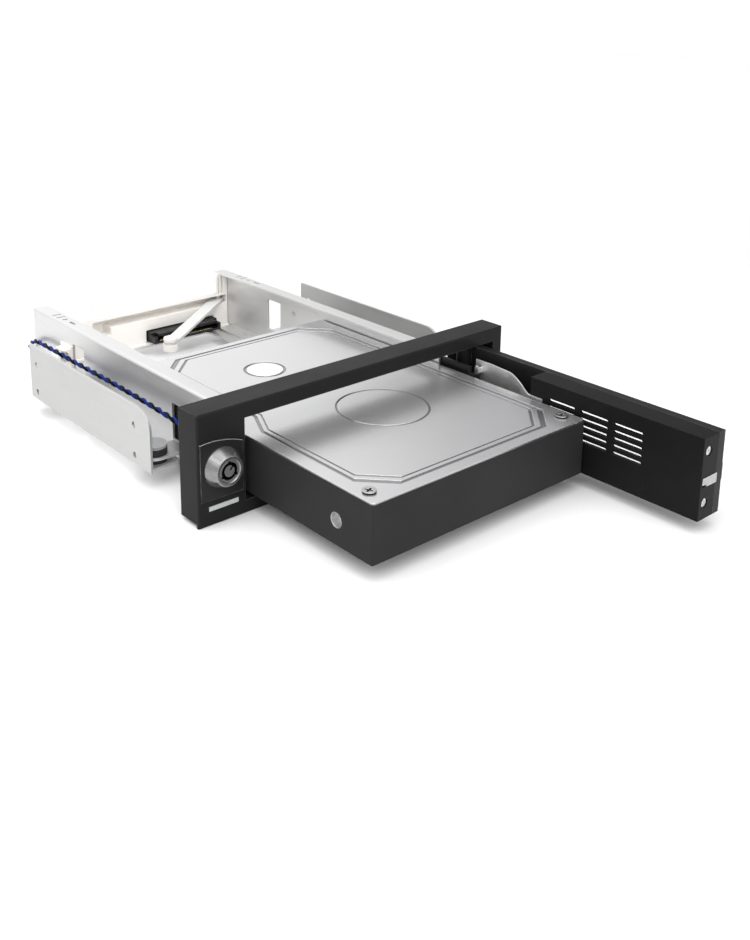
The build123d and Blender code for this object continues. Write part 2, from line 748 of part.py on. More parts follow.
with BuildPart() as door_screws:
    for z in end_screw_z:
        lengthwise(door_inner_x + 3.2, -door_reach + 0.3, z, 1.65, 0.9)
        lengthwise(door_inner_x + 3.2, -door_reach + 0.3, z, 0.88, 5.2)
        lengthwise(door_inner_x + 3.2, -door_reach + 0.3, z, 0.6, 0.4, mode=Mode.SUBTRACT)
save(door_screws, "door_screws")

with BuildPart() as hinge_pins:
    for z in (opening_bottom - hinge_pin_length / 2, opening_top - hinge_pin_length / 2):
        upright(hinge_x, hinge_d, z, hinge_pin_r, hinge_pin_length)
save(hinge_pins, "hinge_pins")

# Ejector: slide bar on the outside of the right wall, with the knuckle and pin that the door's strap works
strap_pin_x = bar_right + 1.8
strap_pin_d = bar_front - 1.0
pin_clearance = 0.3
with BuildPart() as slide_bar:
    with BuildSketch(Plane.YZ.offset(bar_left)) as bar_face:
        with Locations((back((bar_front + bar_rear) / 2), bar_middle)):
            Rectangle(bar_rear - bar_front, bar_height)
        fillet(bar_face.vertices().group_by(Axis.X)[-1], 3)
        for d in (guide_front, guide_rear):
            start, end = d - bar_travel - guide_gap, d + guide_gap
            with Locations((back((start + end) / 2), bar_middle)):
                SlotCenterToCenter(end - start, 2 * (guide_r + guide_gap), mode=Mode.SUBTRACT)
    extrude(amount=bar_thickness)
    with BuildSketch(Plane.XY.offset(bar_middle - knuckle_height / 2)):
        with Locations((strap_pin_x, back(strap_pin_d))):
            Circle(knuckle_r)
        with Locations(((bar_left + strap_pin_x) / 2, back(strap_pin_d + 0.5))):
            Rectangle(strap_pin_x - bar_left, 2 * knuckle_r - 1)
    extrude(amount=knuckle_height)
    upright(strap_pin_x, strap_pin_d, bar_low, strap_pin_r, bar_height, mode=Mode.SUBTRACT)
save(slide_bar, "slide_bar")

with BuildPart() as strap_pin:
    upright(strap_pin_x, strap_pin_d, bar_low, strap_pin_r, bar_height)
save(strap_pin, "strap_pin")

# Spring steel strap from the door's inner box to the bar's pin, with two tongues bent in front of the pin
strap_low = 18.2
strap_high = 31.8
strap_lap_high = 28.0
strap_front = -door_pocket - strap_lap
strap_lap_x = door_inner_x - strap_thickness / 2
strap_rear_x = strap_pin_x + knuckle_r + pin_clearance + strap_thickness / 2
strap_fall_rear = -21.0
strap_lap_rear = -door_pocket - 1.5
strap_route = [
    (strap_rear_x, strap_pin_d + 2.0),
    (strap_rear_x, strap_pin_d - 6.0),
    (strap_rear_x - 1.1, strap_pin_d - 16.0),
    (strap_rear_x - 3.4, strap_pin_d - 24.0),
    (strap_lap_x, -door_pocket + 1.0),
    (strap_lap_x, strap_front - 0.2),
]
with BuildPart() as link_strap:
    with BuildSketch(Plane.XY.offset(strap_low)):
        with BuildLine():
            FilletPolyline(*[(x, back(d)) for x, d in strap_route], radius=2.0)
            offset(amount=strap_thickness / 2, side=Side.BOTH)
        make_face()
    extrude(amount=strap_high - strap_low)
    # Its upper edge falls in a long S towards the lap on the door
    with BuildSketch(Plane.YZ.offset(strap_lap_x - 2)):
        with BuildLine():
            Line((back(2), strap_high), (back(strap_fall_rear), strap_high))
            Spline(
                (back(strap_fall_rear), strap_high),
                (back(strap_lap_rear), strap_lap_high),
                tangents=((-1, 0), (-1, 0)),
            )
            Polyline(
                (back(strap_lap_rear), strap_lap_high),
                (back(strap_front), strap_lap_high),
                (back(strap_front), strap_low),
                (back(2), strap_low),
                (back(2), strap_high),
            )
        make_face()
    extrude(amount=12, mode=Mode.INTERSECT)
    tongue_rear = strap_pin_d - strap_pin_r - pin_clearance
    tongue_front = tongue_rear - strap_thickness
    for z in (bar_low + 0.4, bar_middle + knuckle_height / 2 + 0.4):
        block(strap_pin_x - strap_pin_r, strap_rear_x, tongue_front, tongue_rear, z, z + 2.2)
    crosswise(strap_lap_x - 1, strap_rivet_d, strap_rivet_z, 0.8, 2, mode=Mode.SUBTRACT)
save(link_strap, "link_strap")

with BuildPart() as strap_rivet:
    crosswise(strap_lap_x - strap_thickness / 2 - 0.5, strap_rivet_d, strap_rivet_z, 2.0, 0.5)
    crosswise(strap_lap_x - strap_thickness / 2, strap_rivet_d, strap_rivet_z, 0.8, strap_thickness + 1.4)
save(strap_rivet, "strap_rivet")

with BuildPart() as bar_guides:
    for d in (guide_front, guide_rear):
        crosswise(inner_right, d, bar_middle, guide_r, sheet + 2 * bar_gap + bar_thickness)
        crosswise(bar_right + bar_gap, d, bar_middle, 3.2, 1.0)
save(bar_guides, "bar_guides")

# Ejector lever with the round pusher on its free end
with BuildPart() as eject_lever:
    with BuildSketch(Plane.XY.offset(lever_z)):
        with Locations(((pivot_x + pusher_x) / 2, (back(pivot_d) + back(pusher_d)) / 2)):
            SlotCenterToCenter(lever_length, lever_width, rotation=degrees(lever_angle))
        with Locations((pivot_x, back(pivot_d))):
            Circle(pivot_r + running_gap, mode=Mode.SUBTRACT)
        with Locations((pusher_x, back(pusher_d))):
            Circle(1.5, mode=Mode.SUBTRACT)
    extrude(amount=lever_thickness)
save(eject_lever, "eject_lever")

with BuildPart() as lever_pusher:
    upright(pusher_x, pusher_d, lever_z - pusher_drop, pusher_r, pusher_drop)
    upright(pusher_x, pusher_d, lever_z, 1.48, lever_thickness)
    upright(pusher_x, pusher_d, lever_z + lever_thickness, pusher_r - 0.2, pusher_head)
    fillet(lever_pusher.edges().filter_by(GeomType.CIRCLE).group_by(Axis.Z)[-1], 0.4)
save(lever_pusher, "lever_pusher")

with BuildPart() as lever_pin:
    upright(pivot_x, pivot_d, frame_low + 0.5, pivot_r, 9.5)
save(lever_pin, "lever_pin")

# Rear frame: a white moulding with the lever's slot, a tower at the right and a raised block at the left
tower_width = 7.0
tower_top = 32.0
raised_top = 29.2
raised_left = bay_x - 24.0
raised_width = 15.0
foot_front = 159.0
rail_step = 1.6
slot_low = lever_z - 0.6
slot_high = lever_z + lever_thickness + pusher_head + 0.4
frame_left = inner_left + 0.2
frame_right = inner_right - 0.2
tower_left = frame_right - tower_width
backplane_screw_x = [board_left + board_screw_inset, frame_right - 1.4 * board_screw_inset]
backplane_screw_z = 10.0
with BuildPart() as rear_frame:
    block(frame_left, frame_right, foot_front, frame_rear, floor_z + sheet, flange_z - 0.1)
    block(frame_left, frame_right, frame_front, board_front, flange_z - 0.1, frame_low)
    block(frame_left, frame_right, frame_front, frame_rear, frame_low, frame_top)
    block(frame_left, frame_right, frame_front, frame_front + rail_step, frame_top - rail_step, frame_top,
          mode=Mode.SUBTRACT)
    block(raised_left, raised_left + raised_width, frame_front + rail_step, frame_rear - 0.6, frame_top,
          raised_top)
    block(tower_left, frame_right, frame_front, frame_rear, frame_top - rail_step, tower_top)
    # Upright grooves that leave two ribs on the tower
    for x in (tower_left + 1.4, tower_left + 3.4):
        block(x, x + 0.9, frame_front, frame_front + 1.2, slot_high + 1, tower_top, mode=Mode.SUBTRACT)
    # Slot for the lever, and the pocket for its pusher
    pusher_home_x = pivot_x - lever_length
    pocket_left = pusher_home_x - pusher_r - 0.7
    pocket_right = pusher_home_x + pusher_r + 2.2
    block(pocket_left, frame_right - 0.6, frame_front, frame_rear - 0.9, slot_low, slot_high,
          mode=Mode.SUBTRACT)
    block(pocket_left, pocket_right, frame_front, frame_rear - 0.9, frame_low + 0.6, slot_high,
          mode=Mode.SUBTRACT)
    upright(pivot_x, pivot_d, frame_low + 0.5, pivot_r, 9.5, mode=Mode.SUBTRACT)
    # Window that the plug comes through
    block(plug_left - 0.6, plug_right + 0.6, frame_front, board_front, flange_z - 0.1, plug_top + 0.5,
          mode=Mode.SUBTRACT)
    for x in backplane_screw_x:
        lengthwise(x, frame_front + 0.8, backplane_screw_z, 0.9, board_front - frame_front - 0.8,
                   mode=Mode.SUBTRACT)
    for x in frame_screw_x:
        upright(x, frame_screw_d, floor_z + sheet, 1.2, sheet, mode=Mode.SUBTRACT)
save(rear_frame, "rear_frame")

with BuildPart() as frame_screws:
    for x in frame_screw_x:
        upright(x, frame_screw_d, floor_z, 1.18, 2 * sheet - 0.2)
        upright(x, frame_screw_d, floor_z - 0.9, 2.4, 0.9)
save(frame_screws, "frame_screws")

# Backplane: board, plug that the drive meets, its contacts, and the two sockets behind
board_rear = board_front + board_thickness
with BuildPart() as backplane_board:
    block(board_left, frame_right - 1.3, board_front, board_rear, flange_z - 0.1, board_top)
    for x in backplane_screw_x:
        lengthwise(x, board_front, backplane_screw_z, 1.1, board_thickness, mode=Mode.SUBTRACT)
save(backplane_board, "backplane_board")

with BuildPart() as backplane_screws:
    for x in backplane_screw_x:
        lengthwise(x, board_rear, backplane_screw_z, 2.0, 1.1)
        lengthwise(x, frame_front + 1, backplane_screw_z, 0.88, board_rear - frame_front - 1)
save(backplane_screws, "backplane_screws")

mouth_low = tongue_z - 0.8
mouth_high = tongue_z + tongue_thickness + 0.6
contact_height = 0.5
with BuildPart() as drive_plug:
    block(plug_left, plug_right, plug_front, board_front, plug_low, plug_top)
    block(plug_left + 1.6, plug_right - 1.6, plug_front, board_front - 3.2, mouth_low, mouth_high,
          mode=Mode.SUBTRACT)
    # The top steps down at both ends, where the drive's guides come in
    for x in (plug_left, plug_right - 2.2):
        block(x, x + 2.2, plug_front, plug_front + 3.5, plug_top - 1.2, plug_top, mode=Mode.SUBTRACT)
save(drive_plug, "drive_plug")

with BuildPart() as plug_contacts:
    first = plug_left + 3.0
    for number in range(24):
        if number not in (7, 8):
            x = first + number * contact_pitch
            block(x, x + 0.8, plug_front + 0.5, board_front - 3.2, mouth_low, mouth_low + contact_height)
save(plug_contacts, "plug_contacts")


def rear_socket(left, width):
    """A shrouded socket on the back of the board, with its tongue inside."""
    with BuildPart() as socket:
        block(left, left + width, board_rear, socket_rear, 7.0, 12.6)
        block(left + 0.8, left + width - 0.8, board_rear + 1.0, socket_rear, 7.8, 11.8, mode=Mode.SUBTRACT)
        block(left + 2, left + width - 2, board_rear + 1.0, socket_rear - 0.8, 9.4, 10.4)
    return socket


data_socket = rear_socket(data_socket_left, 14.0)
save(data_socket, "data_socket")
power_socket = rear_socket(power_socket_left, 24.0)
save(power_socket, "power_socket")

# Light lead: two wires side by side along one route, and the clip and plug that hold them
lead_route = [
    (outer_left - 9.5, light_board_d + 1.2, 7.2),
    (outer_left - 9.5, 15.5, 7.4),
    (outer_left - 5.6, 20.0, 19.0),
    (outer_left - 3.9, 31.0, 21.9),
    (outer_left - 3.5, 60.0, 22.6),
    (outer_left - 3.1, 90.0, 22.3),
    (outer_left - 3.3, 122.0, 22.0),
    (outer_left - 3.1, 146.0, 21.8),
    (outer_left - 2.7, 159.0, 21.2),
    (outer_left - 1.9, 166.5, 15.5),
    (outer_left + 0.5, frame_rear - 1.4, 10.8),
    (outer_left + 10.5, frame_rear - 1.3, 9.8),
    (lead_plug_x - 6.0, frame_rear - 1.5, 9.8),
]


def lead_radii(points):
    """The largest arc that each corner's two runs allow."""
    radii = []
    for before, here, after in zip(points, points[1:], points[2:]):
        turn = radians((here - before).get_angle(after - here))
        run = min((here - before).length, (after - here).length)
        radii.append(0.45 * run / tan(turn / 2))
    return radii


def wire(side):
    """One wire of the lead, a little to one side of the route."""
    points = [Vector(x + side * wire_spread, back(d), z + side * wire_rise) for x, d, z in lead_route]
    points[-1] = Vector(lead_plug_x - 6.0, points[-1].Y, points[-1].Z)
    with BuildPart() as strand:
        with BuildLine() as path:
            FilletPolyline(*points, radius=lead_radii(points))
        with BuildSketch(Plane(origin=path.line @ 0, z_dir=path.line % 0)):
            Circle(wire_r)
        sweep()
    print("wire radii", [round(r, 1) for r in lead_radii(points)], "volume", round(strand.part.volume, 2),
          "section x length", round(3.14159265 * wire_r**2 * path.wire().length, 2))
    return strand


blue_wire = wire(1)
save(blue_wire, "blue_wire")
black_wire = wire(-1)
save(black_wire, "black_wire")

clip_d = 128.0
clip_z = 21.95
clip_x = outer_left - 3.25
with BuildPart() as lead_clip:
    with BuildSketch(facing_front(clip_d)):
        with Locations((clip_x, clip_z)):
            Circle(2.7)
        with Locations(((clip_x + outer_left) / 2, clip_z)):
            Rectangle(outer_left - clip_x, 5.4)
        with Locations((clip_x, clip_z)):
            Circle(1.9, mode=Mode.SUBTRACT)
        with Locations((clip_x - 2.0, clip_z + 2.0)):
            Rectangle(2.6, 2.6, rotation=45, mode=Mode.SUBTRACT)
    extrude(amount=-7)
    block(outer_left - 0.8, outer_left, clip_d - 1.5, clip_d + 8.5, 16.0, 26.0)
save(lead_clip, "lead_clip")

with BuildPart() as lead_plug:
    block(lead_plug_x - 6.0, lead_plug_x, board_rear, frame_rear - 0.1, 7.4, 12.2)
save(lead_plug, "lead_plug")

print("bar travel", round(bar_travel, 3), "lever swing", round(degrees(lever_angle), 3),
      "hinge", hinge_x, round(back(hinge_d), 3), "pivot", pivot_x, round(back(pivot_d), 3))
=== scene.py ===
import math

import bmesh
import bpy
from mathutils import Matrix, Vector


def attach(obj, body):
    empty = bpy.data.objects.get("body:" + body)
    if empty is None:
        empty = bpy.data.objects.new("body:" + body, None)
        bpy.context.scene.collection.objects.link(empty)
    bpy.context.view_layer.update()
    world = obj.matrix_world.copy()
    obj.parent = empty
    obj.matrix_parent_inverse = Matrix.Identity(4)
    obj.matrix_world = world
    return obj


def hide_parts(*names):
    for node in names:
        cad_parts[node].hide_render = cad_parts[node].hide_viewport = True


# Looks for the hot swap drive cage: finishes for its sheets, mouldings and drive, the twisted
# lead of its light, and a plain studio. Metres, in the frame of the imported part.

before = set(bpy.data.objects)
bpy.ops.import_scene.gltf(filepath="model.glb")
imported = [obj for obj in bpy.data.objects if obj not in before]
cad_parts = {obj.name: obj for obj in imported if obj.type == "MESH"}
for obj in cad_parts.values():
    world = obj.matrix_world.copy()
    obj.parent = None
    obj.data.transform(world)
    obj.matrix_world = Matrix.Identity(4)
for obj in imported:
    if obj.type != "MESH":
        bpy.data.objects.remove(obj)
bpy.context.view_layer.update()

MM = 0.001
# Depths are counted back from the bezel's front face, as in the part
FRONT_Y = -31.25

# What the finishes need to know of the part, in millimetres
# Height of the drive cover's upper face, and how deep its grooves and rings start and end, over
# which their painted shade grows
COVER_TOP = 27.46
GROOVE_SHALLOW, GROOVE_DEEP = 0.08, 0.3
# Across and depth of the small round seal in that cover, and its radius
HUB_PLACE = (-9.5, 49.8)
HUB_RADIUS = 7.2
# Depth and height of the drive's side holes, and their radius
SIDE_HOLES = [(56.5, 15.26), (14.9, 15.26), (-45.1, 15.26)]
SIDE_HOLE_RADIUS = 2.52
# Depth of the face of the lock's turning middle
LOCK_FACE = -5.3


def at(x, depth, z):
    """A place in millimetres, depth from the bezel's front face, as a vector in metres."""
    return Vector((x, depth + FRONT_Y, z)) * MM


# Finishes

# How a metal's fine lines are stretched: along an axis, round the lock, or not at all
ALONG_Y = (1.0, 0.04, 1.0)
ALONG_X = (0.04, 1.0, 1.0)
ROUND_LOCK = (1.0, 0.02, 1.0)
ALONG_STRAP = (1, 0.15, 0.15)
ALL_WAYS = (1, 1, 1)

# Colours of lighter edges, partly wear from rubbing and partly painted highlight
DULL_WORN_LIT_EDGE = (0.2, 0.2, 0.205)
PALE_WORN_LIT_EDGE = (0.95, 0.95, 0.95)


def start_finish(name, stretch=ALL_WAYS):
    """An empty material with its shader and the stretched object coordinates it reads."""
    finish = bpy.data.materials.new(name)
    finish.use_nodes = True
    tree = finish.node_tree
    tree.nodes.clear()
    output = tree.nodes.new("ShaderNodeOutputMaterial")
    shader = tree.nodes.new("ShaderNodeBsdfPrincipled")
    tree.links.new(shader.outputs["BSDF"], output.inputs["Surface"])
    mapping = tree.nodes.new("ShaderNodeMapping")
    mapping.inputs["Scale"].default_value = stretch
    tree.links.new(object_place(tree), mapping.inputs["Vector"])
    return finish, tree, shader, mapping.outputs["Vector"]


def shader_of(finish):
    """The shader node of a finish."""
    return [node for node in finish.node_tree.nodes if node.type == "BSDF_PRINCIPLED"][0]


def object_place(tree):
    """The object coordinates, in metres."""
    return tree.nodes.new("ShaderNodeTexCoord").outputs["Object"]


def feed(tree, target, value):
    """Gives an input a link or a plain value."""
    if isinstance(value, bpy.types.NodeSocket):
        tree.links.new(value, target)
    else:
        target.default_value = value


def combine(tree, operation, *values):
    """The result of a math operation on links and numbers."""
    node = tree.nodes.new("ShaderNodeMath")
    node.operation = operation
    for target, value in zip(node.inputs, values):
        feed(tree, target, value)
    return node.outputs[0]


def combine_vectors(tree, operation, first, second):
    """The node of an operation on two vectors."""
    node = tree.nodes.new("ShaderNodeVectorMath")
    node.operation = operation
    feed(tree, node.inputs[0], first)
    feed(tree, node.inputs[1], second)
    return node


def distance(tree, vector, place):
    """How far a vector lies from a place, in metres."""
    return combine_vectors(tree, "DISTANCE", vector, place).outputs["Value"]


def split(tree, vector):
    """The X, Y and Z of a vector."""
    node = tree.nodes.new("ShaderNodeSeparateXYZ")
    tree.links.new(vector, node.inputs["Vector"])
    return node.outputs


def noise(tree, vector, scale, detail=4.0, roughness=0.6):
    """The value of a noise that reads these coordinates."""
    node = tree.nodes.new("ShaderNodeTexNoise")
    node.inputs["Scale"].default_value = scale
    node.inputs["Detail"].default_value = detail
    node.inputs["Roughness"].default_value = roughness
    tree.links.new(vector, node.inputs["Vector"])
    return node.outputs["Fac"]


def spread(tree, value, low, high, bottom=0.3, top=0.7):
    """A value taken from bottom..top to low..high."""
    node = tree.nodes.new("ShaderNodeMapRange")
    node.inputs["From Min"].default_value = bottom
    node.inputs["From Max"].default_value = top
    node.inputs["To Min"].default_value = low
    node.inputs["To Max"].default_value = high
    tree.links.new(value, node.inputs["Value"])
    return node.outputs["Result"]


def blend_colours(tree, value, first, second):
    """A colour between two, by this value."""
    node = tree.nodes.new("ShaderNodeMix")
    node.data_type = "RGBA"
    tree.links.new(value, node.inputs["Factor"])
    for socket, colour in (("A", first), ("B", second)):
        target = [s for s in node.inputs if s.name == socket and s.type == "RGBA"][0]
        feed(tree, target, colour if isinstance(colour, bpy.types.NodeSocket) else (*colour, 1))
    return [s for s in node.outputs if s.type == "RGBA"][0]


def rounded_edges(tree, radius):
    """Normals that turn over each sharp edge, and a value that is high only on those edges."""
    soft = tree.nodes.new("ShaderNodeBevel")
    soft.samples = 6
    soft.inputs["Radius"].default_value = radius * MM
    flat = tree.nodes.new("ShaderNodeNewGeometry")
    dot = combine_vectors(tree, "DOT_PRODUCT", soft.outputs["Normal"], flat.outputs["Normal"])
    return soft.outputs["Normal"], spread(tree, dot.outputs["Value"], 1, 0, 0.93, 0.995)


def bump(tree, height, strength, depth, normal=None):
    """A bump over these normals, its depth in millimetres."""
    node = tree.nodes.new("ShaderNodeBump")
    node.inputs["Strength"].default_value = strength
    node.inputs["Distance"].default_value = depth * MM
    tree.links.new(height, node.inputs["Height"])
    if normal is not None:
        tree.links.new(normal, node.inputs["Normal"])
    return node.outputs["Normal"]


def moulded(name, low, high, rough, grain=2600, wear_and_highlight=0.35, edge=0.25, wear_and_highlight_colour=None,
            specular=0.5, top_edge_highlight=0.0):
    """Moulded plastic: pebbled skin, cloudy colour and lighter edges, partly wear from rubbing and
    partly painted highlight, with more painted highlight on edges facing up.
    """
    finish, tree, shader, vector = start_finish(name)
    normal, on_edge = rounded_edges(tree, edge)
    colour = blend_colours(tree, spread(tree, noise(tree, vector, 35, 5), 0, 1), low, high)
    # Lighter edges: partly wear from rubbing, partly painted highlight
    worn_and_lit_edge_colour = wear_and_highlight_colour or tuple(min(1, c * 2.2 + 0.02) for c in high)
    worn_and_lit_edges = combine(tree, "MULTIPLY", on_edge, spread(tree, noise(tree, vector, 160, 3), 0, wear_and_highlight))
    # Painted highlight, stronger on edges that face up
    if top_edge_highlight:
        highlight_facing_up = spread(tree, split(tree, normal)["Z"], 0, top_edge_highlight, 0.05, 0.4)
        worn_and_lit_edges = combine(tree, "MULTIPLY_ADD", on_edge, highlight_facing_up, worn_and_lit_edges)
    tree.links.new(blend_colours(tree, worn_and_lit_edges, colour, worn_and_lit_edge_colour), shader.inputs["Base Color"])
    cloudy_gloss = spread(tree, noise(tree, vector, 60, 4), rough - 0.05, rough + 0.06)
    tree.links.new(cloudy_gloss, shader.inputs["Roughness"])
    pebbles = bump(tree, noise(tree, vector, grain, 2), 0.5, 0.02, normal)
    tree.links.new(pebbles, shader.inputs["Normal"])
    shader.inputs["Specular IOR Level"].default_value = specular
    return finish


def rolled(name, low, high, rough, stretch, line_scale=900, line_depth=0.004, metallic=1.0,
           edge=0.2, lit_edge_gain=1.0):
    """Rolled or brushed metal: fine lines along one way, cloudy gloss and bright edges, partly
    wear and partly painted highlight.
    """
    finish, tree, shader, vector = start_finish(name, stretch)
    normal, on_edge = rounded_edges(tree, edge)
    lines = noise(tree, vector, line_scale, 3, 0.7)
    cloud = combine(tree, "MULTIPLY", noise(tree, object_place(tree), 28, 5), 0.55)
    mixed = combine(tree, "MULTIPLY_ADD", lines, 0.45, cloud)
    colour = blend_colours(tree, spread(tree, mixed, 0, 1), low, high)
    # Bright edges: partly wear, partly painted highlight
    worn_and_lit_edge_colour = tuple(min(1, c * 1.25 * lit_edge_gain) for c in high)
    colour = blend_colours(tree, spread(tree, on_edge, 0, 0.5, 0, 1), colour, worn_and_lit_edge_colour)
    tree.links.new(colour, shader.inputs["Base Color"])
    tree.links.new(spread(tree, mixed, rough - 0.06, rough + 0.08), shader.inputs["Roughness"])
    tree.links.new(bump(tree, lines, 0.35, line_depth, normal), shader.inputs["Normal"])
    shader.inputs["Metallic"].default_value = metallic
    return finish


def recolour(finish, value, colour):
    """Another colour where the value is high."""
    tree, target = finish.node_tree, shader_of(finish).inputs["Base Color"]
    plain = target.links[0].from_socket
    tree.links.new(blend_colours(tree, value, plain, colour), target)


def shade_deep_down(finish, axis, shallow, deep, colour):
    """Painted shade in a piece's recesses: another colour, from shallow to deep in millimetres on
    an axis.
    """
    tree = finish.node_tree
    along = split(tree, object_place(tree))[axis]
    recolour(finish, spread(tree, along, 0, 1, shallow * MM, deep * MM), colour)
    return finish


def cover_metal(name, low, high, rough, stretch):
    """The drive cover's fine metal, bright on its small round seal and dark with painted shade in
    its grooves.
    """
    finish = rolled(name, low, high, rough, stretch, line_scale=1400, line_depth=0.00005,
                    metallic=0.85, edge=0.25)
    tree = finish.node_tree
    even_gloss = spread(tree, noise(tree, object_place(tree), 12, 1), rough - 0.01, rough + 0.02)
    tree.links.new(even_gloss, shader_of(finish).inputs["Roughness"])
    reach = distance(tree, object_place(tree), at(*HUB_PLACE, COVER_TOP))
    on_hub = spread(tree, reach, 1, 0, HUB_RADIUS * MM, (HUB_RADIUS + 0.2) * MM)
    recolour(finish, on_hub, (0.96, 0.96, 0.96))
    # Painted shade in the cover's grooves and rings
    return shade_deep_down(finish, "Z", COVER_TOP - GROOVE_SHALLOW, COVER_TOP - GROOVE_DEEP,
                            (0.3, 0.3, 0.31))


def recessed_screw(name):
    """A zinc screw head, with black painted shade down in its cross recess and low round its edge.
    """
    finish = rolled(name, (0.5, 0.5, 0.48), (0.66, 0.66, 0.64), 0.28, ALL_WAYS, line_scale=500)
    # Painted shade: black from a little under the head's top downwards
    return shade_deep_down(finish, "Z", COVER_TOP + 0.6, COVER_TOP + 0.4, (0.01, 0.01, 0.01))


def keyed_core(name):
    """The lock's turning middle, with black painted shade down in its round keyway."""
    finish = rolled(name, (0.12, 0.12, 0.122), (0.19, 0.19, 0.192), 0.36, ALL_WAYS,
                    line_scale=600, metallic=0.45)
    face = LOCK_FACE + FRONT_Y
    # Painted shade: black deeper than the lock's face, in the keyway
    return shade_deep_down(finish, "Y", face + 0.15, face + 0.6, (0.004, 0.004, 0.004))


def painted_with_bare_holes(name, low, high, rough):
    """Satin paint over a casting, with bare metal left in the drive's side holes."""
    finish = moulded(name, low, high, rough, grain=1500, edge=0.3, specular=0.05)
    tree = finish.node_tree
    flat = combine_vectors(tree, "MULTIPLY", object_place(tree), (0, 1, 1)).outputs[0]
    bare = None
    for depth, z in SIDE_HOLES:
        reach = distance(tree, flat, at(0, depth, z))
        inside = spread(tree, reach, 1, 0, SIDE_HOLE_RADIUS * MM, (SIDE_HOLE_RADIUS + 0.15) * MM)
        bare = inside if bare is None else combine(tree, "MAXIMUM", bare, inside)
    recolour(finish, bare, (0.72, 0.72, 0.72))
    tree.links.new(bare, shader_of(finish).inputs["Metallic"])
    return finish


def board_finish(name):
    """Solder mask with faint copper tracks under it."""
    finish, tree, shader, vector = start_finish(name)
    wave = tree.nodes.new("ShaderNodeTexWave")
    wave.inputs["Scale"].default_value = 160
    wave.inputs["Distortion"].default_value = 3
    tree.links.new(vector, wave.inputs["Vector"])
    tracks = wave.outputs["Fac"]
    colour = blend_colours(tree, spread(tree, tracks, 0, 1, 0.45, 0.55), (0.015, 0.09, 0.045),
                           (0.03, 0.16, 0.08))
    tree.links.new(colour, shader.inputs["Base Color"])
    tree.links.new(spread(tree, noise(tree, vector, 90), 0.25, 0.4), shader.inputs["Roughness"])
    tree.links.new(bump(tree, tracks, 0.3, 0.02), shader.inputs["Normal"])
    return finish


